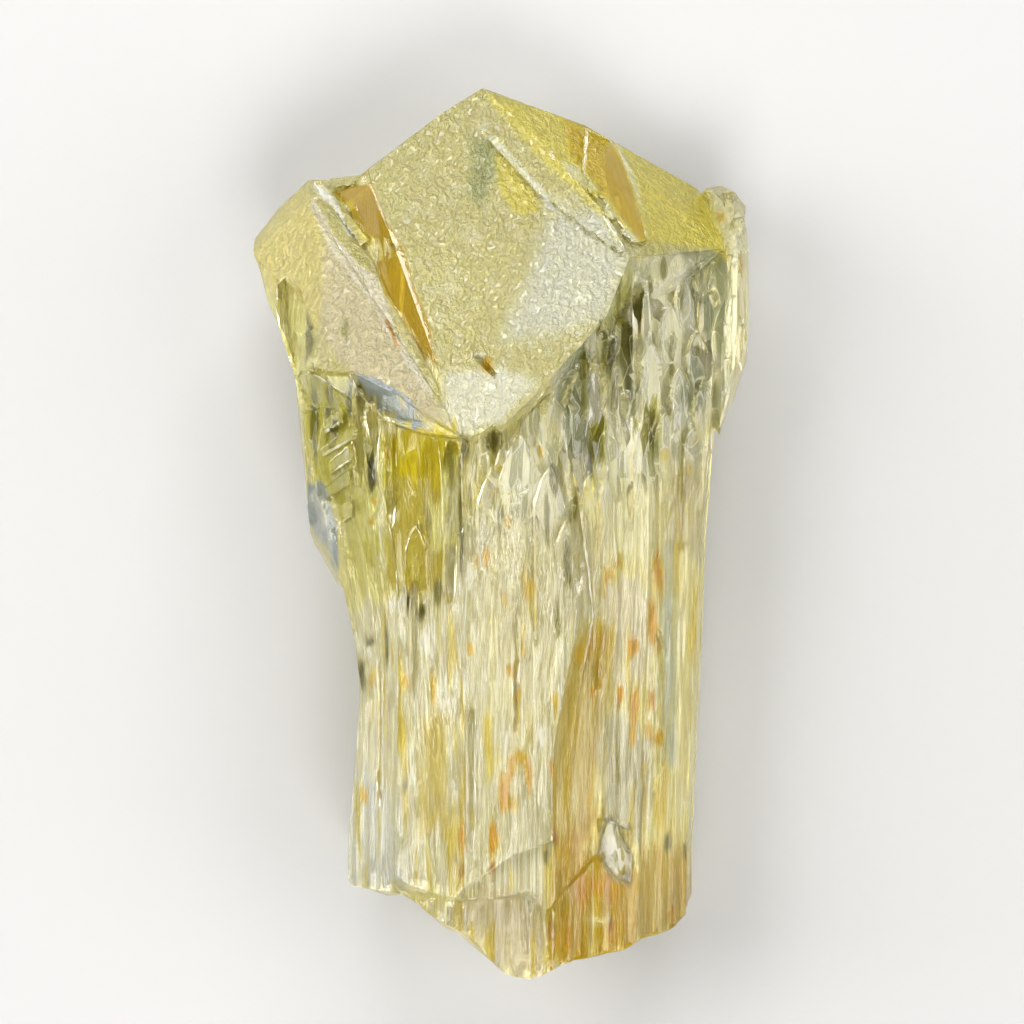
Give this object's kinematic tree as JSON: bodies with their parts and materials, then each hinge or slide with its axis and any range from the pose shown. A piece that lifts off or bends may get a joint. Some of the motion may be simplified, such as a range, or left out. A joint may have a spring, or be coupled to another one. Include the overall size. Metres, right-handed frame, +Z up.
{
  "type": "marialite crystal",
  "caption": "Pale yellow gem marialite crystal: a striated prism with a frosted pyramid head and a small side head, broken at its foot, lying on its flat back.",
  "frame": {"origin": "centre of the bounding box's footprint, on the surface that the crystal lies on", "axes": "+Y runs along the prism toward the pyramid head, +Z points up out of the front, away from the flat back, and +X points to the right edge with the rounded column"},
  "size_m": [0.0314, 0.0558, 0.0206],
  "materials": {
    "crystal": "clear pale yellow crystal, frosted on the pyramid faces, bright and finely striated on the prism, with rust-coloured stains in the grooves"
  },
  "bodies": {
    "root": {"marialite_crystal": "crystal"}
  },
  "joints": []
}
